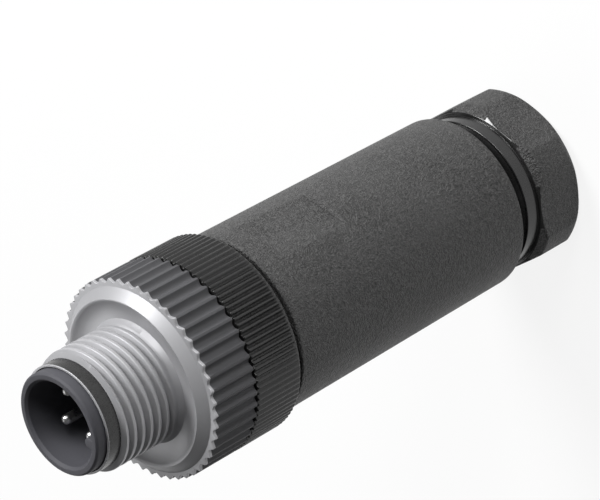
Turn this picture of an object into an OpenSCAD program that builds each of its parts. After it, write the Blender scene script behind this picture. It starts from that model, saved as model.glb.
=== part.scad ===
// Field-wired circular connector, size M12, four pins, with a clamped cable entry.
// It stands on the rear face of its pressing screw, with the pins pointing up (+Z).
// All sizes are in millimetres.

/* [Overall] */
// Length from the rear face of the pressing screw to the rim of the nose
total_len = 61.75; // [61.35:0.1:63.05]
// Diameter over the knurled rings
knurl_d = 20; // [19.8:0.1:20.4]

/* [Mating face] */
// Outer diameter of the plastic nose
nose_d = 10.16; // [10.1:0.02:10.2]
// Bore of the nose, in which the pins stand
nose_bore_d = 8.4; // [8.2:0.1:8.6]
// Depth of the nose bore
nose_depth = 9.7; // [9:0.1:10.5]
// Diameter of a contact pin
pin_d = 1; // [0.9:0.05:1.1]
// Diameter of the circle on which the four pins stand
pin_circle_d = 4.6; // [4.5:0.05:4.9]
// Depth of the pin tips below the rim
pin_recess = 2.15; // [1.8:0.05:2.6]
// Width of the coding key
key_w = 1; // [0.9:0.05:1.2]
// Distance from the axis to the rounded inner end of the coding key
key_r = 3.2; // [3.1:0.05:3.4]

/* [Coupling screw] */
// Major diameter of the coupling thread
thread_d = 11.86; // [11.8:0.02:11.98]
// Minor diameter of the coupling thread
thread_root_d = 10.78; // [10.72:0.02:10.84]
// Pitch of the coupling thread
thread_pitch = 1; // [0.96:0.01:1.02]
// Number of teeth round the flange and of ridges along the grip
grip_ridges = 50; // [40:2:60]
// Depth of a flute in the grip
grip_flute = 0.4; // [0.2:0.05:0.6]
// Length of the black grip sleeve
grip_len = 5; // [4.8:0.1:5]

/* [Knurled ring] */
// Number of ridges round the fine knurl
fine_ridges = 100; // [80:4:120]
// Depth of a groove in the fine knurl
fine_groove = 0.28; // [0.15:0.01:0.35]
// Length of the knurled ring
ring_len = 5.8; // [5.4:0.1:5.8]

/* [Housing] */
// Outer diameter of the housing at its front end
housing_front_d = 18.36; // [18.2:0.02:18.8]
// Outer diameter of the housing at its rear end
housing_rear_d = 17.84; // [17.6:0.02:18.2]
// Distance across the two spanner flats
flats_af = 17.3; // [17.1:0.05:17.6]
// Length of a spanner flat
flat_len = 9.1; // [6:0.1:10]

/* [Cable entry] */
// Distance across the flats of the pressing screw
screw_af = 16.8; // [16.4:0.1:17.2]
// Height of its hexagon head
head_h = 5.8; // [5.3:0.1:5.9]
// Major diameter of the gland thread
gland_d = 15.8; // [15.7:0.05:15.9]
// Pitch of the gland thread
gland_pitch = 1.5; // [1.4:0.05:1.5]
// Bore for the cable
cable_bore_d = 8.2; // [7:0.1:8.4]
// Bore of the rubber cable seal
seal_bore_d = 6.6; // [6:0.1:7]
// Fingers of the clamping cage
cage_fingers = 8; // [4:2:10]

/* [Hidden] */

$fn = 96;
eps = 0.01;          // overshoot of a cutter past the face it opens
plastic_black = [0.10, 0.10, 0.11];
plastic_insert = [0.07, 0.07, 0.08];
rubber_black = [0.05, 0.05, 0.05];
metal_grey = [0.60, 0.60, 0.61];
contact_metal = [0.76, 0.76, 0.74];
screw_steel = [0.72, 0.73, 0.75];

// Heights of the main faces, counted up from the rear face
rim_z = total_len;
pilot_z = rim_z - 1.15;          // front edge of the coupling screw
thread_z = rim_z - 2.65;         // front of the coupling thread
ridge_z = rim_z - 9.12;          // ridge round the dished face
flange_z = rim_z - 10;           // front face of the toothed flange
flange_t = 0.3;                  // thickness of the toothed flange
grip_top_z = flange_z - flange_t;
grip_z = grip_top_z - grip_len;  // rear end of the grip
ring_top_z = rim_z - 15.4;       // front face of the knurled ring
ring_z = ring_top_z - ring_len;  // rear face of the knurled ring
housing_top_z = ring_z - 0.7;    // front face of the housing, below its seal
housing_z = 8.85;                // rear face of the housing

// Running and seating clearances, each on the radius
turn_gap = 0.08;
screw_gap = 0.08;

// Nose and insert
nose_r = nose_d / 2;
nose_bore_r = nose_bore_d / 2;
nose_floor_z = rim_z - nose_depth;
rim_inner_r = nose_bore_r + 0.26;
rim_outer_r = nose_r - 0.18;
key_top_z = rim_z - 0.25;
key_angle = -45;
shoulder_r = 6.5;                // shoulder that holds the coupling screw
shoulder_top_z = flange_z - 2.1;
shoulder_z = shoulder_top_z - 2.1;
neck_r = 5.5;                    // neck between the shoulder and the ring seat
seat_r = 6.6;                    // seat of the knurled ring
spigot_thread_r = 7.9;           // thread that the housing is screwed on
spigot_thread_root = 7.35;
spigot_z = housing_top_z - 6.8;
spigot_bore_r = 5.75;

// Contacts and their terminals
pin_r = pin_d / 2;
pin_circle_r = pin_circle_d / 2;
pin_tip_z = rim_z - pin_recess;
pin_angles = [0, 90, 180, 270];
block_r = 5.65;
block_z = 27;
block_top_z = housing_top_z + 0.6;
terminal_r = 1.2;
terminal_z = block_z + 0.6;
wire_hole_r = 0.7;
wire_hole_depth = 4.9;
clamp_z = 30;                    // height of the four clamping screws
clamp_thread_r = 0.62;
clamp_tap_r = clamp_thread_r + 0.03;
clamp_head_r = 1.1;
clamp_well_r = 1.32;
clamp_tip = 3;                   // distance from the axis to a screw's tip
clamp_head_from = 3.9;
clamp_head_to = 5.2;

// Coupling screw
thread_r = thread_d / 2;
thread_root_r = thread_root_d / 2;
coupling_bore_r = nose_r + turn_gap;
crest_land = 0.38;               // width of a thread crest
root_land = 0.12;                // width of a thread root
first_crest = 0.55;              // the first crest is wider
thread_turns = 7;
dish_r = 6.2;                    // radius at the lowest point of the dish
dish_z = ridge_z - 0.66;
ridge_r = 8.27;
chamfer_r = 9.25;
skirt_r = 8.3;
skirt_bore_r = 6.8;
skirt_z = grip_z + 0.05;
clip_groove_r = 7.25;
clip_z = skirt_z + 0.3;
clip_t = 0.6;
knurl_r = knurl_d / 2;
grip_r = knurl_r - 0.02;
fine_phase = -1.1;

// Housing
gland_r = gland_d / 2;
gland_bore_r = gland_r + screw_gap;
front_bore_r = spigot_thread_r + screw_gap;
seal_seat_r = 7;
web_z = 24;                      // web that the cable seal is pressed against
web_t = 0.9;
web_hole_r = 4.6;
chamber_r = 7.2;
housing_front_r = housing_front_d / 2;
housing_rear_r = housing_rear_d / 2;
flat_top_z = housing_top_z - 2.5;
flat_angle = 43;

// Cable entry
gland_root_r = 7.1;
collar_r = 8;
collar_top_z = housing_z - 1.55;
shank_top_z = 14;
head_corner_r = 9.03;
head_face_r = screw_af / 2 - 0.1;
head_rear_edge = 1.4;            // rounding of the rear edge

cable_bore_r = cable_bore_d / 2;
cone_z = 8.4;
cone_top_z = 9.9;
finger_well_r = 5.6;
cage_ring_t = 2;
cage_ring_r = 6.8;
cage_bore_r = 4.4;
finger_r = 5.3;
finger_tip_z = 9.6;
washer_t = 0.8;
seal_z = shank_top_z + cage_ring_t + washer_t;
gland_bore_top_z = seal_z + 0.3;

// Ring of n ridges: flat tops joined by hollow grooves of the stated depth
function ridge_outline(n, top_r, depth, top_w, steps, phase) =
  let (pitch = 360 / n, half_top = top_w / top_r * 90 / PI)
  [for (i = [0:n - 1]) each concat(
    [[phase + i * pitch - half_top, top_r], [phase + i * pitch + half_top, top_r]],
    [for (k = [1:steps]) groove_point(phase + i * pitch, pitch, half_top, top_r, depth,
                                      k / (steps + 1))])];
function groove_point(at, pitch, half_top, top_r, depth, t) =
  [at + half_top + t * (pitch - 2 * half_top), top_r - depth * (1 - pow(abs(2 * t - 1), 1.7))];
function to_xy(polar) = [for (p = polar) [p[1] * cos(p[0]), p[1] * sin(p[0])]];

// Outer edge of a thread of rings, from the top down: crest lands and V grooves
function thread_edge(top_z, first, turns, pitch, crest_r, root_r, land, root_w) =
  let (flank = (pitch - land - root_w) / 2)
  [for (i = [0:turns - 1]) each
    let (z_end = top_z - first - i * pitch, z_start = i == 0 ? top_z : z_end + land)
    concat(
      i == 0 ? [[root_r, z_start], [crest_r, z_start - flank / 2]] : [[crest_r, z_start]],
      [[crest_r, z_end]],
      i < turns - 1 ? [[root_r, z_end - flank], [root_r, z_end - flank - root_w]] : [])];

// Quarter round in a revolved section, centred at (r, z), between two directions
function round_edge(r, z, radius, from, to, steps = 4) =
  [for (k = [0:steps]) let (a = from + (to - from) * k / steps)
    [r + radius * cos(a), z + radius * sin(a)]];

module ridged_sleeve(n, depth, top_w, steps, phase, r, z, height) {
  translate([0, 0, z])
    linear_extrude(height)
      polygon(to_xy(ridge_outline(n, r, depth, top_w, steps, phase)));
}

module tube(r, bore, z, height) {
  translate([0, 0, z])
    difference() {
      cylinder(r = r, h = height);
      translate([0, 0, -eps]) cylinder(r = bore, h = height + 2 * eps);
    }
}

module bore(r, z, height) {
  translate([0, 0, z]) cylinder(r = r, h = height);
}

// Pressing screw: hexagon head with turned corners, smooth collar and threaded shank
module pressing_screw() {
  color(plastic_black)
    difference() {
      union() {
        intersection() {
          cylinder(d = screw_af / cos(30), h = head_h, $fn = 6);
          rotate_extrude() head_section();
        }
        rotate_extrude() shank_section();
      }
      rotate_extrude() cable_bore_section();
    }
}

module head_section() {
  drop = head_corner_r - head_face_r;
  polygon(concat(
    [[0, 0]],
    round_edge(head_corner_r - head_rear_edge, head_rear_edge, head_rear_edge, -90, 0, 8),
    [[head_corner_r, head_h - drop], [head_face_r, head_h], [0, head_h]]));
}

module shank_section() {
  polygon(concat(
    [[0, head_h - 1], [collar_r, head_h - 1], [collar_r, collar_top_z - 0.15],
     [collar_r - 0.15, collar_top_z], [gland_root_r, collar_top_z]],
    [for (i = [0:3]) each
      let (z0 = collar_top_z + 0.2 + i * gland_pitch)
      [[gland_root_r, z0], [gland_r, z0 + 0.5], [gland_r, z0 + 0.9],
       [gland_root_r, z0 + 1.3]]],
    [[gland_root_r, shank_top_z - 0.4], [gland_root_r - 0.4, shank_top_z],
     [0, shank_top_z]]));
}

module cable_bore_section() {
  mouth = 0.8;
  polygon(concat(
    [[0, -eps], [cable_bore_r + mouth, -eps]],
    round_edge(cable_bore_r + mouth, mouth, mouth, 270, 180, 5),
    [[cable_bore_r, cone_z], [finger_well_r, cone_top_z],
     [finger_well_r, shank_top_z + eps], [0, shank_top_z + eps]]));
}

// Clamping cage: a ring with spring fingers that reach down into the pressing screw
module clamping_cage() {
  slot_w = 0.9;
  color(plastic_insert)
    difference() {
      rotate_extrude()
        polygon([
          [cage_bore_r, finger_tip_z], [finger_r - 0.5, finger_tip_z],
          [finger_r, finger_tip_z + 0.8], [finger_r, shank_top_z],
          [cage_ring_r, shank_top_z], [cage_ring_r, shank_top_z + cage_ring_t],
          [cage_bore_r, shank_top_z + cage_ring_t]]);
      for (i = [0:cage_fingers / 2 - 1])
        rotate([0, 0, i * 360 / cage_fingers])
          translate([-finger_r - 1, -slot_w / 2, finger_tip_z - 1])
            cube([2 * finger_r + 2, slot_w, shank_top_z - finger_tip_z + 0.6]);
    }
}

// Thrust washer: keeps the cage from twisting the seal
module thrust_washer() {
  z0 = shank_top_z + cage_ring_t;
  color(metal_grey) tube(cage_ring_r, cage_bore_r + 0.1, z0, washer_t);
}

// Rubber seal that is squeezed on to the cable
module cable_seal() {
  seal_r = seal_seat_r - 0.1;
  lead = 0.7;
  bore_r = seal_bore_d / 2;
  color(rubber_black)
    rotate_extrude()
      polygon([
        [bore_r + lead, seal_z], [seal_r - 0.2, seal_z], [seal_r, seal_z + 0.3],
        [seal_r, web_z], [bore_r + lead, web_z], [bore_r, web_z - lead],
        [bore_r, seal_z + lead]]);
}

// Housing: tapered sleeve with a seal seat, two threaded ends and two spanner flats
module housing() {
  color(plastic_black)
    difference() {
      rotate_extrude() housing_section();
      for (side = [0, 180])
        rotate([0, 0, flat_angle + side])
          translate([flats_af / 2, -housing_front_r, flat_top_z - flat_len])
            cube([housing_front_r, 2 * housing_front_r, flat_len]);
    }
}

module housing_section() {
  front_edge = 0.25;
  rear_edge = 0.7;
  polygon(concat(
    round_edge(housing_rear_r - rear_edge, housing_z + rear_edge, rear_edge, -90, 0, 6),
    round_edge(housing_front_r - front_edge, housing_top_z - front_edge, front_edge, 0, 90),
    [[front_bore_r + 0.3, housing_top_z], [front_bore_r, housing_top_z - 0.3],
     [front_bore_r, spigot_z - 1], [chamber_r, spigot_z - 1.6],
     [chamber_r, web_z + web_t], [web_hole_r, web_z + web_t], [web_hole_r, web_z],
     [seal_seat_r, web_z], [seal_seat_r, gland_bore_top_z], [gland_bore_r, gland_bore_top_z],
     [gland_bore_r, housing_z + 2.9], [collar_r + 0.2, housing_z + 2.7],
     [collar_r + 0.2, housing_z]]));
}

// Ring seal between the housing and the knurled ring
module housing_seal() {
  edge = 0.15;
  inner = spigot_thread_r - 0.25;
  outer = spigot_thread_r + 0.8;
  color(rubber_black)
    rotate_extrude()
      polygon(concat(
        [[inner, housing_top_z]],
        round_edge(outer - edge, housing_top_z + edge, edge, -90, 0, 3),
        round_edge(outer - edge, ring_z - edge, edge, 0, 90, 3),
        [[inner, ring_z]]));
}

// Finely knurled ring, fixed on the insert so that the insert can be held
module knurl_ring() {
  chamfer = 0.45;
  color(plastic_black)
    difference() {
      intersection() {
        ridged_sleeve(fine_ridges, fine_groove, 0.2, 2, fine_phase, knurl_r, ring_z, ring_len);
        rotate_extrude()
          polygon([
            [0, ring_z], [knurl_r - chamfer, ring_z], [knurl_r + 0.1, ring_z + chamfer + 0.1],
            [knurl_r + 0.1, ring_top_z - 0.1], [knurl_r - 0.12, ring_top_z],
            [0, ring_top_z]]);
      }
      bore(seat_r, ring_z - eps, ring_len + 2 * eps);
    }
}

// Contact insert: nose with its coding key, shoulder, ring seat and threaded spigot
module contact_insert() {
  color(plastic_insert)
    difference() {
      union() {
        rotate_extrude() insert_section();
        coding_key();
      }
      bore(spigot_bore_r, spigot_z - eps, block_top_z - spigot_z + eps);
      for (a = pin_angles)
        rotate([0, 0, a])
          translate([pin_circle_r, 0, block_top_z - eps])
            cylinder(r = pin_r, h = nose_floor_z - block_top_z + 2 * eps, $fn = 32);
    }
}

module insert_section() {
  polygon(concat(
    [[0, spigot_z], [spigot_thread_root - 0.4, spigot_z],
     [spigot_thread_root, spigot_z + 0.4]],
    [for (i = [0:4]) each
      let (z0 = spigot_z + 0.7 + i * thread_pitch)
      [[spigot_thread_root, z0], [spigot_thread_r, z0 + 0.3],
       [spigot_thread_r, z0 + 0.6], [spigot_thread_root, z0 + 0.9]]],
    [[spigot_thread_root, ring_z], [seat_r, ring_z],
     [seat_r, ring_top_z - 0.2], [seat_r - 0.2, ring_top_z],
     [neck_r, ring_top_z], [neck_r, shoulder_z], [shoulder_r, shoulder_z],
     [shoulder_r, shoulder_top_z], [nose_r, shoulder_top_z],
     [nose_r, rim_z - 0.2], [rim_outer_r, rim_z], [rim_inner_r, rim_z],
     [nose_bore_r, rim_z - 0.26], [nose_bore_r, nose_floor_z], [0, nose_floor_z]]));
}

module coding_key() {
  end_r = key_w / 2;
  root = 0.2;
  key_len = key_top_z - nose_floor_z + root;
  rotate([0, 0, key_angle])
    translate([key_r + end_r, 0, nose_floor_z - root]) {
      cylinder(r = end_r, h = key_len, $fn = 48);
      translate([0, -end_r, 0]) cube([nose_bore_r - key_r - end_r + root, key_w, key_len]);
    }
}

// Terminal block: holds the contacts in the insert, open to the side at each screw
module terminal_block() {
  color(plastic_insert)
    difference() {
      rotate_extrude()
        polygon([
          [0, block_z], [block_r - 0.4, block_z], [block_r, block_z + 0.4],
          [block_r, block_top_z], [0, block_top_z]]);
      for (a = pin_angles)
        rotate([0, 0, a]) {
          translate([pin_circle_r, 0, block_z - eps])
            cylinder(r = terminal_r, h = block_top_z - block_z + 2 * eps, $fn = 48);
          translate([pin_circle_r, 0, clamp_z])
            rotate([0, 90, 0]) cylinder(r = clamp_well_r, h = block_r, $fn = 48);
        }
    }
}

// Contact: pin, terminal body with a wire hole, and a tapped hole for its screw
module contact_pin(index) {
  color(contact_metal)
    rotate([0, 0, pin_angles[index]])
      translate([pin_circle_r, 0, 0])
        difference() {
          union() {
            bore(terminal_r, terminal_z, block_top_z - terminal_z, $fn = 48);
            bore(pin_r, block_top_z, pin_tip_z - pin_r - block_top_z, $fn = 32);
            translate([0, 0, pin_tip_z - pin_r]) sphere(r = pin_r, $fn = 32);
          }
          bore(wire_hole_r, terminal_z - eps, wire_hole_depth, $fn = 32);
          translate([0, 0, clamp_z])
            rotate([0, 90, 0]) cylinder(r = clamp_tap_r, h = terminal_r + 0.5, $fn = 32);
        }
}

// Clamping screw of one terminal, with a slotted head
module clamp_screw(index) {
  slot_w = 0.4;
  slot_depth = 0.5;
  color(screw_steel)
    rotate([0, 0, pin_angles[index]])
      translate([0, 0, clamp_z])
        rotate([0, 90, 0])
          difference() {
            union() {
              bore(clamp_thread_r, clamp_tip, clamp_head_from - clamp_tip + eps, $fn = 32);
              bore(clamp_head_r, clamp_head_from, clamp_head_to - clamp_head_from, $fn = 48);
            }
            translate([-clamp_head_r - 1, -slot_w / 2, clamp_head_to - slot_depth])
              cube([2 * clamp_head_r + 2, slot_w, slot_depth + 1]);
          }
}

// Coupling screw: threaded sleeve, dished flange with teeth, and skirt under the grip
module coupling_screw() {
  color(metal_grey)
    difference() {
      union() {
        rotate_extrude() coupling_section();
        ridged_sleeve(grip_ridges, grip_flute, 0.12, 3, 0, grip_r, grip_top_z, flange_t);
      }
      bore(coupling_bore_r, skirt_z, rim_z);
      bore(skirt_bore_r, skirt_z - eps, shoulder_top_z + 0.1 - skirt_z);
      bore(clip_groove_r, clip_z, clip_t + 0.1);
    }
}

module coupling_section() {
  edge = 0.08;
  polygon(concat(
    [[0, pilot_z], [thread_root_r - edge, pilot_z], [thread_root_r, pilot_z - edge]],
    thread_edge(thread_z, first_crest, thread_turns, thread_pitch, thread_r, thread_root_r,
                crest_land, root_land),
    dish_edge(6),
    [[ridge_r + 0.08, ridge_z], [chamfer_r, flange_z], [chamfer_r, grip_top_z],
     [skirt_r, grip_top_z], [skirt_r, skirt_z], [0, skirt_z]]));
}

// Hollow face of the flange, from the foot of the thread up to its ridge
function dish_edge(steps) =
  [for (k = [0:steps]) let (r = dish_r + (ridge_r - dish_r) * k / steps)
    [r, dish_z + (ridge_z - dish_z) * pow(k / steps, 2)]];

// Grip: black sleeve with long flutes that run on from the teeth of the flange
module coupling_grip() {
  color(plastic_black)
    difference() {
      ridged_sleeve(grip_ridges, grip_flute, 0.25, 4, 0, grip_r, grip_z, grip_len);
      bore(skirt_r, grip_z - eps, grip_len + 2 * eps);
    }
}

// Split spring ring that holds the coupling screw behind the insert's shoulder
module retaining_ring() {
  gap_w = 2.4;
  color(screw_steel)
    difference() {
      tube(clip_groove_r - 0.05, neck_r + 0.25, clip_z + 0.05, clip_t);
      translate([0, -gap_w / 2, clip_z - 1]) cube([clip_groove_r + 1, gap_w, clip_t + 2]);
    }
}

pressing_screw();
clamping_cage();
thrust_washer();
cable_seal();
housing();
housing_seal();
knurl_ring();
contact_insert();
terminal_block();
contact_pin(0);  // contact_pin_1
contact_pin(1);  // contact_pin_2
contact_pin(2);  // contact_pin_3
contact_pin(3);  // contact_pin_4
clamp_screw(0);  // clamp_screw_1
clamp_screw(1);  // clamp_screw_2
clamp_screw(2);  // clamp_screw_3
clamp_screw(3);  // clamp_screw_4
coupling_screw();
coupling_grip();
retaining_ring();
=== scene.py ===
"""Dresses the field-wired circular connector: fine shapes, finishes, light and camera."""

import logging
import math
from collections.abc import Callable, Mapping, Sequence
from dataclasses import dataclass, field
from enum import Enum
from typing import Any

import bmesh
import bpy
from mathutils import Matrix, Vector


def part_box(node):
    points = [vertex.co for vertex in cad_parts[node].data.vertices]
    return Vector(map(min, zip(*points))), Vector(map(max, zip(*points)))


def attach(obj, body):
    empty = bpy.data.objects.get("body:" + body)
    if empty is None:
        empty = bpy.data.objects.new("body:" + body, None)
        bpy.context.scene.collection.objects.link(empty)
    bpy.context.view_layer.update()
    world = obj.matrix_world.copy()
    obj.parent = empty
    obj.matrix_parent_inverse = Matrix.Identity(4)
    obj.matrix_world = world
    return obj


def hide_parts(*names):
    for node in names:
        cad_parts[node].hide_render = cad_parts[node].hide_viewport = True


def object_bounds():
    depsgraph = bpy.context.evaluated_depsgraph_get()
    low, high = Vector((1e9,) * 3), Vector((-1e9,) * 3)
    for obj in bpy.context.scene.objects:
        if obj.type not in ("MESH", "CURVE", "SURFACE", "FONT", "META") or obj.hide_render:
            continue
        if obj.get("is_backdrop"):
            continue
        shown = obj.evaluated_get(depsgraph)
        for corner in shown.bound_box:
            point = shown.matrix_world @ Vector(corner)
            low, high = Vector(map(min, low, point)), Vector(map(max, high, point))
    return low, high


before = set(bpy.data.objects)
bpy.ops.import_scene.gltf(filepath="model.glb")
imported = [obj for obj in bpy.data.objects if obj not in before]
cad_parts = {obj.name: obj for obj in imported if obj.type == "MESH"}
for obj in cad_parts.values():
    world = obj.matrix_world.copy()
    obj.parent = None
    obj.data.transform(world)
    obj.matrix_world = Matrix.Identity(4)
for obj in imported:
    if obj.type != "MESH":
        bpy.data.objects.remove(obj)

logging.basicConfig(level=logging.INFO, format="%(name)s: %(message)s")
log = logging.getLogger("connector")

MM = 0.001
SAME_POINT = 1e-7  # metres within which two points are one
Point = tuple[float, float]
Place = tuple[float, float, float]
Colour = tuple[float, float, float, float]


def grey(level: float, warmth: float = 0.0) -> Colour:
    """A near-neutral colour of one linear level."""
    return (level * (1 + warmth), level, level * (1 - warmth), 1.0)


# ---------------------------------------------------------------- node trees


class Wire:
    """A node's output, which takes part in ordinary Python sums."""

    def __init__(self, graph: "Graph", socket: bpy.types.NodeSocket) -> None:
        """Keeps the output and the graph that it belongs to."""
        self.graph = graph
        self.socket = socket

    def _math(self, operation: str, first: "Wire | float", second: "Wire | float") -> "Wire":
        """Adds one Math node to the graph.

        Args:
            operation: Name of the Math node's operation.
            first: Value or output for its first socket.
            second: Value or output for its second socket.

        Returns:
            The node's output.
        """
        return self.graph.node("ShaderNodeMath", {"operation": operation}, {0: first, 1: second})

    def __add__(self, other: "Wire | float") -> "Wire":
        """Sum."""
        return self._math("ADD", self, other)

    def __radd__(self, other: float) -> "Wire":
        """Sum with a number on the left."""
        return self._math("ADD", other, self)

    def __sub__(self, other: "Wire | float") -> "Wire":
        """Difference."""
        return self._math("SUBTRACT", self, other)

    def __rsub__(self, other: float) -> "Wire":
        """Difference from a number on the left."""
        return self._math("SUBTRACT", other, self)

    def __mul__(self, other: "Wire | float") -> "Wire":
        """Product."""
        return self._math("MULTIPLY", self, other)

    def __rmul__(self, other: float) -> "Wire":
        """Product with a number on the left."""
        return self._math("MULTIPLY", other, self)

    def __pow__(self, other: "Wire | float") -> "Wire":
        """Power."""
        return self._math("POWER", self, other)


class Graph:
    """The node tree of one material."""

    def __init__(self, name: str) -> None:
        """Starts an empty material.

        Args:
            name: Name of the material.
        """
        self.material = bpy.data.materials.new(name)
        self.material.use_nodes = True
        self.tree = self.material.node_tree
        self.tree.nodes.clear()

    def node(
        self,
        kind: str,
        settings: Mapping[str, Any] | None = None,
        sockets: Mapping[str | int, Any] | None = None,
        output: str | int = 0,
    ) -> Wire:
        """Adds a node of any type.

        Args:
            kind: Blender's name for the node's type.
            settings: Properties that are set first; "stops" holds a ramp's positions and colours.
            sockets: A value or an output for each input, by name or place.
            output: The output that is wanted.

        Returns:
            That output.
        """
        made = self.tree.nodes.new(kind)
        for key, value in (settings or {}).items():
            if key == "stops":
                self._set_stops(made.color_ramp, value)
            else:
                setattr(made, key, value)
        for key, value in (sockets or {}).items():
            if isinstance(value, Wire):
                self.tree.links.new(value.socket, made.inputs[key])
            else:
                made.inputs[key].default_value = value
        return Wire(self, made.outputs[output]) if len(made.outputs) else Wire(self, None)

    @staticmethod
    def _set_stops(ramp: bpy.types.ColorRamp, stops: Sequence[tuple[float, Colour]]) -> None:
        """Gives a colour ramp its stops.

        Args:
            ramp: The ramp to fill.
            stops: Positions from 0 to 1 with their colours.
        """
        while len(ramp.elements) > 1:
            ramp.elements.remove(ramp.elements[-1])
        ramp.elements[0].position, ramp.elements[0].color = stops[0]
        for position, colour in stops[1:]:
            ramp.elements.new(position).color = colour

    def place(self) -> Wire:
        """Position on the piece, in its own frame."""
        return self.node("ShaderNodeTexCoord", output="Object")

    def noise(self, size: float, low: float, high: float, detail: float = 2.0) -> Wire:
        """Soft random pattern.

        Args:
            size: Size of its features, in millimetres.
            low: Value in its hollows.
            high: Value on its peaks.
            detail: Number of finer layers.

        Returns:
            The pattern, from low to high.
        """
        raw = self.node(
            "ShaderNodeTexNoise",
            {"noise_dimensions": "3D"},
            {"Vector": self.place(), "Scale": 1 / (size * MM), "Detail": detail},
        )
        return self.node(
            "ShaderNodeMapRange",
            {"clamp": True},
            {"Value": raw, "From Min": 0.3, "From Max": 0.7, "To Min": low, "To Max": high},
        )

    def blend(self, factor: Wire, first: Colour | Wire, second: Colour | Wire) -> Wire:
        """Colour between two others.

        Args:
            factor: 0 for the first colour, 1 for the second.
            first: A colour or an output.
            second: A colour or an output.

        Returns:
            The mixed colour.
        """
        return self.node(
            "ShaderNodeMix",
            {"data_type": "RGBA", "clamp_factor": True},
            {0: factor, 6: first, 7: second},
            output=2,
        )

    def bump(self, height: Wire, depth: float, strength: float = 1.0) -> Wire:
        """Surface normal of a height pattern.

        Args:
            height: The pattern, from 0 to 1.
            depth: Height that a value of 1 stands for, in millimetres.
            strength: Share of the effect that is used.

        Returns:
            The normal.
        """
        return self.node(
            "ShaderNodeBump",
            {},
            {"Height": height, "Distance": depth * MM, "Strength": strength},
        )

    def close(self, shader: Wire) -> bpy.types.Material:
        """Links the finished shader to the surface.

        Args:
            shader: Output of the last shader node.

        Returns:
            The material.
        """
        self.node("ShaderNodeOutputMaterial", {}, {"Surface": shader})
        return self.material


# ---------------------------------------------------------------- finishes


@dataclass(frozen=True)
class GrainedPlastic:
    """Black glass-filled plastic out of a spark-eroded mould: an even fine grain with pale tips."""

    name: str
    dark: float
    light: float
    roughness: float
    grain_size: float
    grain_depth: float
    gloss: float = 0.5
    coarse_ratio: float = 2.6
    coarse_share: float = 0.3
    tip_contrast: float = 1.6
    cloud_size: float = 7.0
    cloud_share: float = 0.25

    def material(self) -> bpy.types.Material:
        """Builds the finish.

        Returns:
            The material.
        """
        graph = Graph(self.name)
        grain = graph.noise(self.grain_size, 0.0, 1.0, 1.0)
        coarse = graph.noise(self.grain_size * self.coarse_ratio, 0.0, 1.0, 1.0)
        cloud = graph.noise(self.cloud_size, 0.0, 1.0)
        tips = (grain * (1 - self.coarse_share) + coarse * self.coarse_share) ** self.tip_contrast
        tone = graph.blend(tips, grey(self.dark), grey(self.light, 0.01))
        colour = graph.blend(cloud * self.cloud_share, tone, grey(self.light))
        shader = graph.node(
            "ShaderNodeBsdfPrincipled",
            {},
            {
                "Base Color": colour,
                "Roughness": self.roughness + (cloud - 0.5) * 0.08 + (grain - 0.5) * 0.1,
                "Specular IOR Level": self.gloss,
                "Normal": graph.bump(grain * 0.75 + coarse * 0.5, self.grain_depth),
            },
        )
        return graph.close(shader)


@dataclass(frozen=True)
class SatinPlastic:
    """Black plastic out of a smoother mould, with faint flow marks and rubbed high spots."""

    name: str
    dark: float
    light: float
    roughness: float
    grain_depth: float
    gloss: float = 0.5
    fine_size: float = 0.12
    flow_size: float = 2.2

    def material(self) -> bpy.types.Material:
        """Builds the finish.

        Returns:
            The material.
        """
        graph = Graph(self.name)
        fine = graph.noise(self.fine_size, 0.0, 1.0)
        flow = graph.noise(self.flow_size, 0.0, 1.0, 3.0)
        colour = graph.blend(fine * 0.5 + flow * 0.5, grey(self.dark), grey(self.light))
        shader = graph.node(
            "ShaderNodeBsdfPrincipled",
            {},
            {
                "Base Color": colour,
                "Roughness": self.roughness + (flow - 0.5) * 0.12,
                "Specular IOR Level": self.gloss,
                "Normal": graph.bump(fine, self.grain_depth),
            },
        )
        return graph.close(shader)


@dataclass(frozen=True)
class BlastedMetal:
    """Die-cast metal with a matt plated skin: a fine tooth, cloudy tone and rubbed tips."""

    name: str
    dark: float
    light: float
    roughness: float
    metallic: float
    tooth_depth: float
    tooth_size: float = 0.15
    patch_size: float = 0.9
    patch_share: float = 0.4

    def material(self) -> bpy.types.Material:
        """Builds the finish.

        Returns:
            The material.
        """
        graph = Graph(self.name)
        tooth = graph.noise(self.tooth_size, 0.0, 1.0)
        patch = graph.noise(self.patch_size, 0.0, 1.0, 3.0)
        tone = tooth * (1 - self.patch_share) + patch * self.patch_share
        shader = graph.node(
            "ShaderNodeBsdfPrincipled",
            {},
            {
                "Base Color": graph.blend(tone, grey(self.dark), grey(self.light)),
                "Metallic": self.metallic,
                "Roughness": self.roughness + (patch - 0.5) * 0.12 + (tooth - 0.5) * 0.12,
                "Normal": graph.bump(tooth, self.tooth_depth),
            },
        )
        return graph.close(shader)


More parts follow.
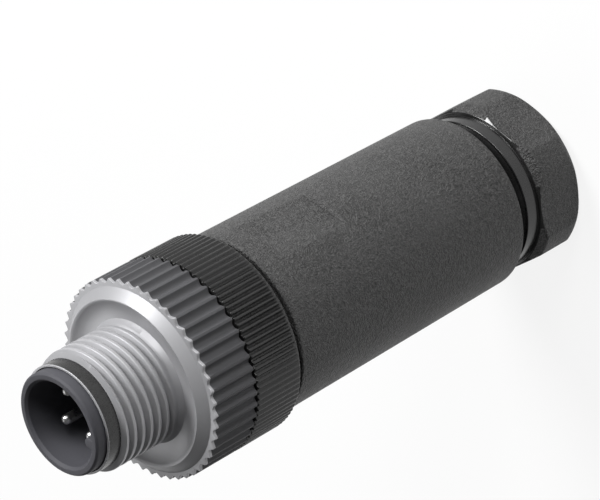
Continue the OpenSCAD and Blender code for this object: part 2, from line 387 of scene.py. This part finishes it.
@dataclass(frozen=True)
class TurnedMetal:
    """Bright metal off a lathe: fine rings that run round the piece, and a soft haze."""

    name: str
    dark: float
    light: float
    roughness: float
    ring_pitch: float = 0.05
    ring_depth: float = 0.002
    wander: float = 5.0

    def material(self) -> bpy.types.Material:
        """Builds the finish.

        Returns:
            The material.
        """
        graph = Graph(self.name)
        height = graph.node("ShaderNodeSeparateXYZ", {}, {"Vector": graph.place()}, output="Z")
        jitter = graph.noise(0.4, 0.0, 1.0)
        turns = height * (math.tau / (self.ring_pitch * MM)) + jitter * self.wander
        rings = graph.node("ShaderNodeMath", {"operation": "SINE"}, {0: turns}) * 0.5 + 0.5
        haze = graph.noise(0.7, 0.0, 1.0)
        shader = graph.node(
            "ShaderNodeBsdfPrincipled",
            {},
            {
                "Base Color": graph.blend(haze, grey(self.dark), grey(self.light)),
                "Metallic": 1.0,
                "Roughness": self.roughness + haze * 0.12 + rings * 0.04,
                "Normal": graph.bump(rings, self.ring_depth, 0.5),
            },
        )
        return graph.close(shader)


@dataclass(frozen=True)
class SealRubber:
    """Black rubber with a dull skin and a trace of dust in its pores."""

    name: str
    dark: float = 0.012
    light: float = 0.035

    def material(self) -> bpy.types.Material:
        """Builds the finish.

        Returns:
            The material.
        """
        graph = Graph(self.name)
        pores = graph.noise(0.16, 0.0, 1.0)
        dust = graph.noise(1.4, 0.0, 1.0, 3.0)
        shader = graph.node(
            "ShaderNodeBsdfPrincipled",
            {},
            {
                "Base Color": graph.blend(dust * 0.7, grey(self.dark), grey(self.light)),
                "Roughness": 0.62 + pores * 0.15,
                "Specular IOR Level": 0.35,
                "Normal": graph.bump(pores, 0.01, 0.6),
            },
        )
        return graph.close(shader)


class Finish(Enum):
    """The finishes of the connector."""

    HOUSING = GrainedPlastic("housing_grain", 0.003, 0.085, 0.52, 0.15, 0.09, 0.4)
    COLLAR = SatinPlastic("collar_plastic", 0.010, 0.020, 0.20, 0.002)
    GRIP = SatinPlastic("grip_plastic", 0.003, 0.009, 0.25, 0.006)
    RING = SatinPlastic("ring_plastic", 0.004, 0.014, 0.28, 0.012)
    INSERT = SatinPlastic("insert_plastic", 0.003, 0.006, 0.18, 0.002)
    COUPLING = BlastedMetal("coupling_metal", 0.05, 0.27, 0.46, 0.75, 0.06)
    # The pilot band's dark base colour is painted shade: it stands in for the dark surroundings that
    # this smooth turned metal reflects. Its low roughness is real.
    PILOT = BlastedMetal("pilot_band_painted_shade", 0.035, 0.06, 0.28, 0.8, 0.002)
    CONTACT = TurnedMetal("contact_plating", 0.55, 0.75, 0.22)
    STEEL = TurnedMetal("screw_steel", 0.42, 0.58, 0.28, 0.08)
    WASHER = TurnedMetal("washer_steel", 0.35, 0.5, 0.35, 0.1)
    RUBBER = SealRubber("seal_rubber")

    @property
    def made(self) -> bpy.types.Material:
        """The material of this finish, built on first use."""
        found = bpy.data.materials.get(self.value.name)
        return found or self.value.material()


# ---------------------------------------------------------------- shapes


def polar(r: float, degrees: float, z: float) -> Place:
    """A point from its distance to the axis, its direction and its height."""
    a = math.radians(degrees)
    return (r * math.cos(a), r * math.sin(a), z)


def soft_min(a: float, b: float, blend: float) -> float:
    """The smaller of two lengths, with a rounded change from one to the other.

    Args:
        a: First length.
        b: Second length.
        blend: Width over which the change is rounded.

    Returns:
        The rounded minimum.
    """
    share = max(blend - abs(a - b), 0.0) / blend
    return min(a, b) - share * share * blend / 4


def smooth(t: float) -> float:
    """Eases from 0 to 1 as t goes from 0 to 1."""
    t = min(max(t, 0.0), 1.0)
    return t * t * (3 - 2 * t)


@dataclass
class Section:
    """A closed outline in the half plane through the axis, drawn corner by corner."""

    corners: list[tuple[float, float, float]] = field(default_factory=list)

    def to(self, r: float, z: float, edge: float = 0.0) -> "Section":
        """Adds a corner.

        Args:
            r: Its distance from the axis.
            z: Its height.
            edge: Radius of the rounding there, or 0 for none.

        Returns:
            The section itself.
        """
        self.corners.append((r, z, edge))
        return self

    def run(self, points: Sequence[Point]) -> "Section":
        """Adds several plain corners in order."""
        self.corners.extend((r, z, 0.0) for r, z in points)
        return self

    def points(self, steps: int = 4) -> list[Point]:
        """The outline with its corners rounded.

        Args:
            steps: Pieces of each rounding.

        Returns:
            The points in order, the same number for every column of a piece.
        """
        found: list[Point] = []
        count = len(self.corners)
        for i, (r, z, edge) in enumerate(self.corners):
            if edge <= 0:
                found.append((r, z))
                continue
            here = Vector((r, z))
            before = Vector(self.corners[i - 1][:2]) - here
            after = Vector(self.corners[(i + 1) % count][:2]) - here
            reach = min(edge, before.length * 0.49, after.length * 0.49)
            start = here + before.normalized() * reach
            end = here + after.normalized() * reach
            for k in range(steps + 1):
                t = k / steps
                at = start * (1 - t) ** 2 + here * (2 * t * (1 - t)) + end * t**2
                found.append((at.x, at.y))
        return found


@dataclass(frozen=True)
class HelicalThread:
    """An outside thread whose crest rises right-handed round the axis."""

    crest_r: float
    root_r: float
    pitch: float
    land: float
    root_width: float
    top_z: float
    low_z: float
    valley_z: float
    lead: float
    fade: float
    crest_round: float = 0.05
    round_from: float = 0.86
    round_fall: float = 6.0

    def _radius(self, z: float, valley: float) -> float:
        """Radius of the thread's surface at one height.

        Args:
            z: The height.
            valley: Height of any valley's middle in that column.

        Returns:
            The radius.
        """
        off = abs((z - valley + self.pitch / 2) % self.pitch - self.pitch / 2)
        flank = (self.pitch - self.land - self.root_width) / 2
        share = min(max((off - self.root_width / 2) / flank, 0.0), 1.0)
        if share < 1:
            past = (share - self.round_from) / (1 - self.round_from)
            rounded = share - self.crest_round * smooth(past)
        else:
            inward = (off - self.root_width / 2 - flank) / self.land
            rounded = 1 - self.crest_round * math.exp(-self.round_fall * inward)
        depth = self.crest_r - self.root_r
        lead = min(max((self.top_z - z) / self.lead, 0.0), 1.0)
        fade = smooth((z - self.low_z) / self.fade)
        rise = 1 - (1 - rounded) * fade
        return self.root_r + depth * min(rise, lead)

    def edge(self, degrees: float) -> list[Point]:
        """Edge of the thread in one column, from the top down.

        Args:
            degrees: Direction of the column.

        Returns:
            Points that move evenly from column to column.
        """
        valley = self.valley_z + self.pitch * degrees / 360
        half_root = self.root_width / 2
        half_crest = (self.pitch - self.land) / 2
        offsets = [half_root, half_crest * 0.9, half_crest, half_crest + self.land * 0.2]
        heights = [
            self.top_z, self.top_z - self.lead,
            self.low_z + self.fade, self.low_z + self.fade / 2, self.low_z,
        ]
        turns = int((self.top_z - self.low_z) / self.pitch) + 3
        for k in range(-1, turns):
            middle = valley - k * self.pitch
            heights += [middle + side * off for off in offsets for side in (-1, 1)]
        clamped = sorted((min(max(z, self.low_z), self.top_z) for z in heights), reverse=True)
        return [(self._radius(z, valley), z) for z in clamped]


@dataclass(frozen=True)
class Ridges:
    """Even ridges round a sleeve, with hollow flutes between them."""

    count: int
    top_r: float
    depth: float
    top_width: float
    power: float = 1.7
    phase: float = 0.0
    crown: float = 0.02

    def radius(self, degrees: float) -> float:
        """Radius in one direction.

        Args:
            degrees: The direction.

        Returns:
            The distance from the axis.
        """
        step = 360 / self.count
        half_top = math.degrees(self.top_width / self.top_r) / 2
        off = abs((degrees - self.phase + step / 2) % step - step / 2)
        if off <= half_top:
            return self.top_r - self.crown * (off / half_top) ** 2
        t = (off - half_top) / (step / 2 - half_top)
        hollow = 1 - (1 - t) ** self.power
        return self.top_r - self.crown - (self.depth - self.crown) * hollow

    def directions(self, flute_steps: int) -> list[float]:
        """Directions that follow every ridge.

        Args:
            flute_steps: Columns across one flute.

        Returns:
            The directions in degrees, in order.
        """
        step = 360 / self.count
        half_top = math.degrees(self.top_width / self.top_r) / 2
        tops = [-half_top, 0.0, half_top]
        rest = step - 2 * half_top
        tops += [half_top + rest * k / (flute_steps + 1) for k in range(1, flute_steps + 1)]
        return [self.phase + i * step + at for i in range(self.count) for at in tops]


class Maker:
    """Turns point lists into pieces of the model."""

    @staticmethod
    def loft(name: str, columns: Sequence[Sequence[Place]], sharp: float = 32.0) -> bpy.types.Object:
        """Joins closed outlines, one after another round the axis, into one skin.

        Args:
            name: Name of the piece.
            columns: The outlines, each with the same number of points, in millimetres;
                the last one lies on the first.
            sharp: Angle in degrees above which an edge stays sharp.

        Returns:
            The piece, in metres.
        """
        count = len(columns[0])
        built = bmesh.new()
        rings = [[built.verts.new((x * MM, y * MM, z * MM)) for x, y, z in c] for c in columns]
        for ring, after in zip(rings, rings[1:]):
            for j in range(count):
                k = (j + 1) % count
                built.faces.new((ring[j], after[j], after[k], ring[k]))
        bmesh.ops.remove_doubles(built, verts=built.verts, dist=SAME_POINT)
        bmesh.ops.dissolve_degenerate(built, edges=built.edges, dist=SAME_POINT)
        return Maker._finished(name, built, sharp)

    @staticmethod
    def stacked(name: str, rows: Sequence[Sequence[Place]], sharp: float) -> bpy.types.Object:
        """Joins closed outlines, one above another, and closes both ends.

        Args:
            name: Name of the piece.
            rows: The outlines from the lowest up, each with the same number of points.
            sharp: Angle in degrees above which an edge stays sharp.

        Returns:
            The piece, in metres.
        """
        built = bmesh.new()
        rings = [[built.verts.new((x * MM, y * MM, z * MM)) for x, y, z in r] for r in rows]
        for lower, upper in zip(rings, rings[1:]):
            for k, point in enumerate(lower):
                n = (k + 1) % len(lower)
                built.faces.new((point, lower[n], upper[n], upper[k]))
        built.faces.new(rings[-1])
        built.faces.new(list(reversed(rings[0])))
        return Maker._finished(name, built, sharp)

    @staticmethod
    def _finished(name: str, built: bmesh.types.BMesh, sharp: float) -> bpy.types.Object:
        """Turns a built skin into a piece with smooth faces and sharp edges.

        Args:
            name: Name of the piece.
            built: The skin, which is used up.
            sharp: Angle in degrees above which an edge stays sharp.

        Returns:
            The piece.
        """
        bmesh.ops.recalc_face_normals(built, faces=built.faces)
        for face in built.faces:
            face.smooth = True
        mesh = bpy.data.meshes.new(name)
        built.to_mesh(mesh)
        built.free()
        mesh.set_sharp_from_angle(angle=math.radians(sharp))
        piece = bpy.data.objects.new(name, mesh)
        bpy.context.scene.collection.objects.link(piece)
        return piece

    @staticmethod
    def turned(
        name: str,
        directions: Sequence[float],
        outline: Callable[[float], Sequence[Point]],
        sharp: float = 32.0,
    ) -> bpy.types.Object:
        """Builds a piece whose section may change with its direction.

        Args:
            name: Name of the piece.
            directions: Directions of the columns, in degrees.
            outline: Gives the section's points in one direction.
            sharp: Angle in degrees above which an edge stays sharp.

        Returns:
            The piece.
        """
        closed = [*directions, directions[0] + 360]
        columns = [[polar(r, a, z) for r, z in outline(a)] for a in closed]
        return Maker.loft(name, columns, sharp)


def even(count: int) -> list[float]:
    """Directions spread evenly round the axis, in degrees."""
    return [360 * i / count for i in range(count)]


def span(node: str) -> tuple[float, float]:
    """Lowest and highest point of a frame node, in millimetres."""
    low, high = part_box(node)
    return low.z / MM, high.z / MM


# ---------------------------------------------------------------- sub-assemblies


@dataclass
class Part:
    """One sub-assembly: its pieces and how they are dressed."""

    pieces: dict[str, bpy.types.Object] = field(default_factory=dict)

    def add(self, piece: bpy.types.Object, body: str, finish: Finish, slot: str, *nodes: str) -> None:
        """Puts a new piece on its body in place of frame nodes.

        Args:
            piece: The piece.
            body: The body that it rides on.
            finish: Its finish.
            slot: The record's material slot; not used.
            *nodes: Frame nodes that it stands for.
        """
        piece.data.materials.append(finish.made)
        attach(piece, body)
        if nodes:
            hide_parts(*nodes)
        self.pieces[piece.name] = piece
        log.info("%s: %d faces, on %s", piece.name, len(piece.data.polygons), body)

    def zone(
        self, name: str, finish: Finish, low: float, high: float, inner: float, outer: float
    ) -> None:
        """Gives one band of a piece another finish.

        Args:
            name: Name of the piece.
            finish: Finish of the band.
            low: Lower end of the band.
            high: Upper end of the band.
            inner: Least distance from the axis.
            outer: Largest distance from the axis.
        """
        mesh = self.pieces[name].data
        mesh.materials.append(finish.made)
        for face in mesh.polygons:
            middle = face.center / MM
            r = math.hypot(middle.x, middle.y)
            if low < middle.z < high and inner < r < outer:
                face.material_index = len(mesh.materials) - 1

    def dress(self, node: str, finish: Finish) -> None:
        """Gives a frame node its finish.

        Args:
            node: Name of the node.
            finish: The finish.
        """
        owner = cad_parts[node]
        owner.data.materials.clear()
        owner.data.materials.append(finish.made)
        self.pieces[node] = owner
        log.info("%s: frame shape kept, %s", node, finish.name.lower())


@dataclass
class CouplingScrew(Part):
    """Metal screw that holds the mated pair, with its black grip sleeve."""

    thread_r: float = 5.93
    root_r: float = 5.39
    pitch: float = 1.0
    bore_r: float = 5.16
    pilot_len: float = 1.5
    thread_len: float = 6.65
    first_valley: float = 0.70
    dish_r: float = 6.2
    dish_depth: float = 0.66
    ridge_drop: float = 7.97
    ridge_r: float = 8.27
    chamfer_r: float = 9.25
    flange_drop: float = 8.85
    plate_t: float = 0.3
    skirt_r: float = 8.3
    teeth: Ridges = field(default_factory=lambda: Ridges(50, 9.98, 0.4, 0.16, 1.5))
    flutes: Ridges = field(default_factory=lambda: Ridges(50, 9.98, 0.42, 0.26, 1.9))

    def build(self) -> None:
        """Builds the screw and the grip."""
        low, top = span("coupling_screw")
        self._build_screw(low, top)
        grip_low, grip_top = span("coupling_grip")
        self._build_grip(grip_low, grip_top)
        self.dress("retaining_ring", Finish.STEEL)

    def _build_screw(self, low: float, top: float) -> None:
        """Builds the threaded sleeve with its dished flange.

        Args:
            low: Height of the skirt's end.
            top: Height of the front end.
        """
        thread_top = top - self.pilot_len
        ridge_z = top - self.ridge_drop
        flange_z = top - self.flange_drop
        thread = HelicalThread(
            self.thread_r, self.root_r, self.pitch, land=0.38, root_width=0.12,
            top_z=thread_top, low_z=thread_top - self.thread_len,
            valley_z=thread_top - self.first_valley, lead=0.22, fade=0.5,
        )
        bore, skirt_bore, groove_r = self.bore_r, 6.8, 7.25
        groove_low, groove_top, step_z = low + 0.3, low + 1.0, low + 3.25

        def outline(a: float) -> list[Point]:
            """Section of the screw in one direction."""
            tooth = self.teeth.radius(a)
            section = Section()
            section.to(bore, top, 0.04).to(self.root_r, top, 0.09)
            section.run(thread.edge(a))
            dish_z = ridge_z - self.dish_depth
            for k in range(9):
                t = k / 8
                r = self.dish_r + (self.ridge_r - self.dish_r) * t
                section.to(r, dish_z + (ridge_z - dish_z) * t * t)
            section.to(self.ridge_r + 0.08, ridge_z, 0.03)
            section.to(self.chamfer_r, flange_z, 0.04)
            section.to(tooth, flange_z, 0.05)
            section.to(tooth, flange_z - self.plate_t)
            section.to(self.skirt_r, flange_z - self.plate_t)
            section.to(self.skirt_r, low, 0.1)
            section.run([
                (skirt_bore, low), (skirt_bore, groove_low), (groove_r, groove_low),
                (groove_r, groove_top), (skirt_bore, groove_top), (skirt_bore, step_z),
                (bore, step_z),
            ])
            return section.points()

        piece = Maker.turned("coupling_sleeve", self.teeth.directions(9), outline, 40)
        self.add(piece, "coupling_screw", Finish.COUPLING, "coupling_metal", "coupling_screw")
        # Painted shade: the pilot band gets a darkened metal colour in place of the dark reflection
        # on its smooth turned surface.
        self.zone(piece.name, Finish.PILOT, thread_top, top - 0.12, 5.3, self.thread_r)

    def _build_grip(self, low: float, top: float) -> None:
        """Builds the fluted grip sleeve.

        Args:
            low: Height of its rear end.
            top: Height of its front end.
        """

        def outline(a: float) -> list[Point]:
            """Section of the grip in one direction."""
            r = self.flutes.radius(a)
            section = Section()
            section.to(self.skirt_r, low).to(r, low, 0.16)
            section.to(r, top, 0.05).to(self.skirt_r, top)
            return section.points(5)

        piece = Maker.turned("grip_sleeve", self.flutes.directions(9), outline, 40)
        self.add(piece, "coupling_screw", Finish.GRIP, "grip_plastic", "coupling_grip")


@dataclass
class KnurledRing(Part):
    """Finely knurled ring that holds the insert while the housing is screwed on."""

    ridges: Ridges = field(
        default_factory=lambda: Ridges(100, 10.0, 0.28, 0.16, 1.8, -1.1, 0.03)
    )
    bore_r: float = 6.6
    rear_r: float = 9.5
    rear_chamfer: float = 0.45

    def build(self) -> None:
        """Builds the ring."""
        low, top = span("knurl_ring")

        def outline(a: float) -> list[Point]:
            """Section of the ring in one direction."""
            r = self.ridges.radius(a)
            section = Section()
            section.to(self.bore_r, low).to(self.rear_r, low, 0.05)
            section.to(min(r, 9.98), low + min(self.rear_chamfer, r - self.rear_r), 0.12)
            section.to(r, top, 0.14).to(self.bore_r, top)
            return section.points(5)

        piece = Maker.turned("fine_knurl_ring", self.ridges.directions(5), outline, 40)
        self.add(piece, "contact_insert", Finish.RING, "housing_plastic", "knurl_ring")


@dataclass
class PressingScrew(Part):
    """Hexagon pressing screw that closes the cable entry, with its smooth collar."""

    across_flats: float = 16.8
    corner_r: float = 9.03
    face_r: float = 8.3
    rear_edge: float = 1.4
    head_h: float = 5.8
    collar_r: float = 8.0
    collar_top: float = 7.3
    cable_bore: float = 4.1
    cage_bore: float = 5.6
    thread_r: float = 7.9
    root_r: float = 7.1
    edge_blend: float = 0.07

    def build(self) -> None:
        """Builds the screw."""
        low, top = span("pressing_screw")
        thread = HelicalThread(
            self.thread_r, self.root_r, pitch=1.5, land=0.4, root_width=0.2,
            top_z=top - 0.4, low_z=self.collar_top + 0.15, valley_z=self.collar_top + 0.35,
            lead=0.4, fade=0.3,
        )

        def outline(a: float) -> list[Point]:
            """Section of the screw in one direction."""
            off = a % 60 - 30
            flat = self.across_flats / 2 / math.cos(math.radians(off))
            r = soft_min(flat, self.corner_r, self.edge_blend)
            section = Section()
            section.to(self.cable_bore, low, 0.8)
            section.run(self._rear_edge(low, flat))
            section.to(r, self.head_h - (r - self.face_r), 0.10)
            section.to(self.face_r, self.head_h, 0.08)
            section.to(self.collar_r, self.head_h, 0.06)
            section.to(self.collar_r, self.collar_top, 0.12)
            section.to(self.root_r + 0.1, self.collar_top)
            section.run(list(reversed(thread.edge(a))))
            section.run([
                (self.root_r - 0.4, top), (self.cage_bore, top), (self.cage_bore, 9.9),
                (self.cable_bore, 8.4),
            ])
            return section.points(6)

        piece = Maker.turned("hexagon_pressing_screw", self._directions(), outline, 34)
        self.add(piece, "pressing_screw", Finish.HOUSING, "housing_plastic", "pressing_screw")
        self.zone(piece.name, Finish.COLLAR, self.head_h - 0.2, top, 7.0, self.face_r + 0.3)

    def _rear_edge(self, low: float, flat: float) -> list[Point]:
        """Rounded rear edge, cut by the flats.

        Args:
            low: Height of the rear face.
            flat: Distance of the flat from the axis in this column.

        Returns:
            The edge's points, from the rear face up.
        """
        middle = self.corner_r - self.rear_edge
        found: list[Point] = []
        for k in range(15):
            a = math.radians(-90 + 90 * k / 14)
            r = middle + self.rear_edge * math.cos(a)
            z = low + self.rear_edge * (1 + math.sin(a))
            found.append((soft_min(flat, r, self.edge_blend), z))
        return found

    def _directions(self) -> list[float]:
        """Directions that are closer together where a flat meets a turned corner.

        Returns:
            The directions in degrees, in order.
        """
        edge = math.degrees(math.acos(self.across_flats / 2 / self.corner_r))
        near = [edge + d for d in (-2.4, -1.4, -0.8, -0.4, -0.15, 0.0, 0.2, 0.5, 1.0, 1.8)]
        half = [0, 3, 6, 9, 12, 15, 17, *near, 25, 27, 28.5]
        one = sorted({-x for x in half} | set(half) | {30.0})
        return [60 * k + 30 + x for k in range(6) for x in one]


@dataclass
class Housing(Part):
    """Slightly tapered body sleeve with two spanner flats."""

    rear_r: float = 8.92
    front_r: float = 9.18
    flat_reach: float = 8.65
    flat_drop: float = 2.5
    flat_len: float = 9.1
    flat_slope: float = 0.5
    flat_angle: float = 43.0
    socket_depth: float = 7.8
    rim_r: float = 8.2
    bore_r: float = 7.98
    chamber_r: float = 7.2
    web_r: float = 4.6
    web_top: float = 24.9
    web_low: float = 24.0
    seal_r: float = 7.0
    seal_low: float = 17.1

    def build(self) -> None:
        """Builds the body sleeve."""
        low, top = span("housing")
        flat_top = top - self.flat_drop
        flat_low = flat_top - self.flat_len
        seat = top - self.socket_depth

        def body_r(z: float) -> float:
            """Radius of the taper at one height."""
            return self.rear_r + (self.front_r - self.rear_r) * (z - low) / (top - low)

        def outline(a: float) -> list[Point]:
            """Section of the housing in one direction."""
            off = (a - self.flat_angle + 90) % 180 - 90
            tilt = max(math.cos(math.radians(off)), 0.2)
            section = Section()
            section.to(self.rim_r, low).to(body_r(low), low, 0.7)
            section.to(body_r(flat_low), flat_low)
            heights = [flat_low + self.flat_slope * k / 6 for k in range(7)]
            foot = heights[-1]
            heights += [foot + (flat_top - foot) * k / 10 for k in range(1, 11)]
            for z in heights:
                away = self.flat_reach + max(flat_low + self.flat_slope - z, 0.0)
                section.to(soft_min(away / tilt, body_r(z), 0.02), z)
            section.to(body_r(flat_top), flat_top)
            section.to(body_r(top), top, 0.25)
            section.run([
                (self.bore_r + 0.3, top), (self.bore_r, top - 0.3), (self.bore_r, seat),
                (self.chamber_r, seat - 0.6), (self.chamber_r, self.web_top),
                (self.web_r, self.web_top), (self.web_r, self.web_low),
                (self.seal_r, self.web_low), (self.seal_r, self.seal_low),
                (self.bore_r, self.seal_low), (self.bore_r, low + 2.9), (self.rim_r, low + 2.7),
            ])
            return section.points(7)

        piece = Maker.turned("body_sleeve", even(720), outline, 30)
        self.add(piece, "housing", Finish.HOUSING, "housing_plastic", "housing")


@dataclass
class ContactInsert(Part):
    """Plastic nose with its coding key, the contacts, the terminal block and its screws."""

    nose_r: float = 5.08
    bore_r: float = 4.2
    depth: float = 9.7
    key_r: float = 3.2
    key_width: float = 1.0
    key_angle: float = -45.0
    key_drop: float = 0.25
    key_root: float = 0.15
    key_foot: float = 0.1
    key_soft: float = 0.1
    lead_in: float = 0.26
    neck_r: float = 5.5
    seat_r: float = 6.6
    shoulder_r: float = 6.5
    thread_r: float = 7.9
    root_r: float = 7.35
    entry_r: float = 5.75

    def build(self) -> None:
        """Builds the insert and dresses what it carries."""
        low, rim = span("contact_insert")
        floor = rim - self.depth
        ring_low, ring_top = span("knurl_ring")
        shoulder = rim - 12.1
        seat = span("housing")[1] + 0.6
        thread = HelicalThread(
            self.thread_r, self.root_r, pitch=1.0, land=0.3, root_width=0.1,
            top_z=ring_low - 1.4, low_z=low + 0.6, valley_z=low + 0.9, lead=0.3, fade=0.3,
        )

        def outline(a: float) -> list[Point]:
            """Section of the insert in one direction."""
            section = Section()
            section.to(self.bore_r, floor, 0.1).to(self.bore_r, rim - self.lead_in, 0.05)
            section.to(self.bore_r + self.lead_in, rim, 0.04).to(self.nose_r - 0.18, rim, 0.05)
            section.to(self.nose_r, rim - 0.2, 0.08)
            section.run([
                (self.nose_r, shoulder), (self.shoulder_r, shoulder),
                (self.shoulder_r, shoulder - 2.1), (self.neck_r, shoulder - 2.1),
                (self.neck_r, ring_top), (self.seat_r - 0.2, ring_top),
                (self.seat_r, ring_top - 0.2), (self.seat_r, ring_low),
                (self.root_r, ring_low), (self.root_r, ring_low - 0.7),
            ])
            section.run(thread.edge(a))
            section.run([
                (self.root_r, low + 0.4), (self.root_r - 0.4, low), (self.entry_r, low),
                (self.entry_r, seat), (0.0, seat), (0.0, floor),
            ])
            return section.points()

        piece = Maker.turned("insert_body", even(360), outline, 34)
        self.add(piece, "contact_insert", Finish.INSERT, "insert_plastic", "contact_insert")
        self._build_key(floor, rim - self.key_drop)
        self.dress("terminal_block", Finish.INSERT)
        for i in range(1, 5):
            self.dress(f"contact_pin_{i}", Finish.CONTACT)
            self.dress(f"clamp_screw_{i}", Finish.STEEL)

    def _build_key(self, low: float, top: float) -> None:
        """Builds the coding key: a rib with a round inner end and softened front edges.

        Args:
            low: Height of the nose's floor.
            top: Height of the key's front end.
        """
        end = self.key_width / 2
        middle = self.key_r + end
        turn = math.radians(self.key_angle)
        root = self.bore_r + self.key_root
        ring = [(root, -end)]
        ring += [
            (middle - end * math.cos(t), end * math.sin(t))
            for t in (math.radians(-90 + 12 * k) for k in range(16))
        ]
        ring += [(root, end)]
        soft = self.key_soft
        layers = [(low - self.key_foot, 1.0), (top - soft, 1.0)]
        layers += [
            (top - soft + soft * math.sin(t), 1 - soft / end * (1 - math.cos(t)))
            for t in (math.radians(30 * k) for k in (1, 2, 3))
        ]
        rows = []
        for z, share in layers:
            row = []
            for x, y in ring:
                x = middle + (x - middle) * (share if x < middle else 1.0)
                y = y * share
                row.append((
                    x * math.cos(turn) - y * math.sin(turn),
                    x * math.sin(turn) + y * math.cos(turn),
                    z,
                ))
            rows.append(row)
        piece = Maker.stacked("coding_key", rows, 40)
        self.add(piece, "contact_insert", Finish.INSERT, "insert_plastic")


@dataclass
class CableEntry(Part):
    """Clamping cage, thrust washer and seals."""

    def build(self) -> None:
        """Dresses the small inner pieces."""
        self.dress("clamping_cage", Finish.INSERT)
        self.dress("thrust_washer", Finish.WASHER)
        self.dress("cable_seal", Finish.RUBBER)
        self.dress("housing_seal", Finish.RUBBER)


# ---------------------------------------------------------------- studio


@dataclass(frozen=True)
class SoftLight:
    """A flat studio light that faces the connector."""

    name: str
    azimuth: float
    elevation: float
    distance: float
    size: float
    power: float

    def place(self, aim: Vector) -> None:
        """Sets the light up.

        Args:
            aim: Point that it faces.
        """
        a, e = math.radians(self.azimuth), math.radians(self.elevation)
        way = Vector((math.cos(e) * math.cos(a), math.cos(e) * math.sin(a), math.sin(e)))
        data = bpy.data.lights.new(self.name, "AREA")
        data.shape = "DISK"
        data.size = self.size
        data.energy = self.power
        lamp = bpy.data.objects.new(self.name, data)
        lamp.location = aim + way * self.distance
        lamp.rotation_euler = way.to_track_quat("Z", "Y").to_euler()
        bpy.context.scene.collection.objects.link(lamp)


@dataclass
class Studio:
    """Pale floor, soft lights, world and camera."""

    centre: Vector
    view_azimuth: float = 2.0
    view_elevation: float = 37.347
    view_roll: float = 118.756
    view_distance: float = 0.340966
    aim_offset: Vector = field(default_factory=lambda: Vector((-0.000116, 0.003323, -0.002373)))
    lens: float = 216.0
    world_level: float = 0.10
    floor_glow: float = 0.86
    floor_half: float = 3.0
    lights: tuple[SoftLight, ...] = (
        SoftLight("key", 84.0, 37.0, 0.6, 0.26, 4.6),
        SoftLight("fill", 40.0, 22.0, 0.6, 0.22, 2.0),
        SoftLight("backdrop", 176.0, 40.0, 0.7, 0.60, 1.3),
    )

    def build(self) -> None:
        """Builds everything round the connector."""
        self._camera()
        self._world()
        self._floor()
        for light in self.lights:
            light.place(self.centre)
        bpy.context.scene.view_settings.view_transform = "Standard"
        log.info("studio: %d lights", len(self.lights))

    def _camera(self) -> None:
        """Sets the camera up."""
        a, e = math.radians(self.view_azimuth), math.radians(self.view_elevation)
        back = Vector((math.cos(e) * math.cos(a), math.cos(e) * math.sin(a), math.sin(e)))
        level_right = Vector((0, 0, 1)).cross(back).normalized()
        level_up = back.cross(level_right)
        roll = math.radians(self.view_roll)
        right = level_right * math.cos(roll) - level_up * math.sin(roll)
        up = level_right * math.sin(roll) + level_up * math.cos(roll)
        data = bpy.data.cameras.new("camera")
        data.lens = self.lens
        data.sensor_width = 36.0
        data.clip_start, data.clip_end = 0.01, 20.0
        camera = bpy.data.objects.new("camera", data)
        camera.matrix_world = Matrix.Translation(
            self.centre + self.aim_offset + back * self.view_distance
        ) @ Matrix((right, up, back)).transposed().to_4x4()
        bpy.context.scene.collection.objects.link(camera)
        bpy.context.scene.camera = camera

    def _world(self) -> None:
        """Gives the room its even light."""
        world = bpy.data.worlds.new("room")
        world.use_nodes = True
        shade = world.node_tree.nodes["Background"]
        shade.inputs["Color"].default_value = grey(1.0)
        shade.inputs["Strength"].default_value = self.world_level
        bpy.context.scene.world = world

    def _floor(self) -> None:
        """Lays the floor, white to the eye and in reflections, with the connector's shadow."""
        graph = Graph("pale_floor")
        eye, mirror, through = (
            graph.node("ShaderNodeLightPath", output=f"Is {kind} Ray")
            for kind in ("Camera", "Glossy", "Transmission")
        )
        cloth = graph.noise(3.0, 0.78, 0.82)
        matt = graph.node("ShaderNodeBsdfDiffuse", {}, {
            "Color": graph.blend(cloth, grey(0.78), grey(0.82)),
        })
        glow = graph.node("ShaderNodeEmission", {}, {"Color": grey(1.0), "Strength": 1.0})
        share = graph.node(
            "ShaderNodeMath",
            {"operation": "MULTIPLY", "use_clamp": True},
            {0: eye + mirror + through, 1: self.floor_glow},
        )
        shader = graph.node("ShaderNodeMixShader", {}, {0: share, 1: matt, 2: glow})
        mesh = bpy.data.meshes.new("floor")
        half = self.floor_half
        mesh.from_pydata(
            [(-half, -half, 0), (half, -half, 0), (half, half, 0), (-half, half, 0)], [],
            [(0, 1, 2, 3)],
        )
        floor = bpy.data.objects.new("floor", mesh)
        mesh.materials.append(graph.close(shader))
        bpy.context.scene.collection.objects.link(floor)
        floor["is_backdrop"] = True


def corners() -> list[list[float]]:
    """The whole model's lowest and highest corner as plain lists."""
    return [[float(x) for x in corner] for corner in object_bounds()]


def main() -> None:
    """Builds the connector and its studio."""
    before = corners()
    low, high = Vector(before[0]), Vector(before[1])
    Studio((low + high) / 2).build()
    for part in (
        PressingScrew(), CableEntry(), Housing(), KnurledRing(), ContactInsert(), CouplingScrew(),
    ):
        part.build()
        log.info("%s: %d pieces", type(part).__name__, len(part.pieces))


if __name__ == "__main__":
    main()
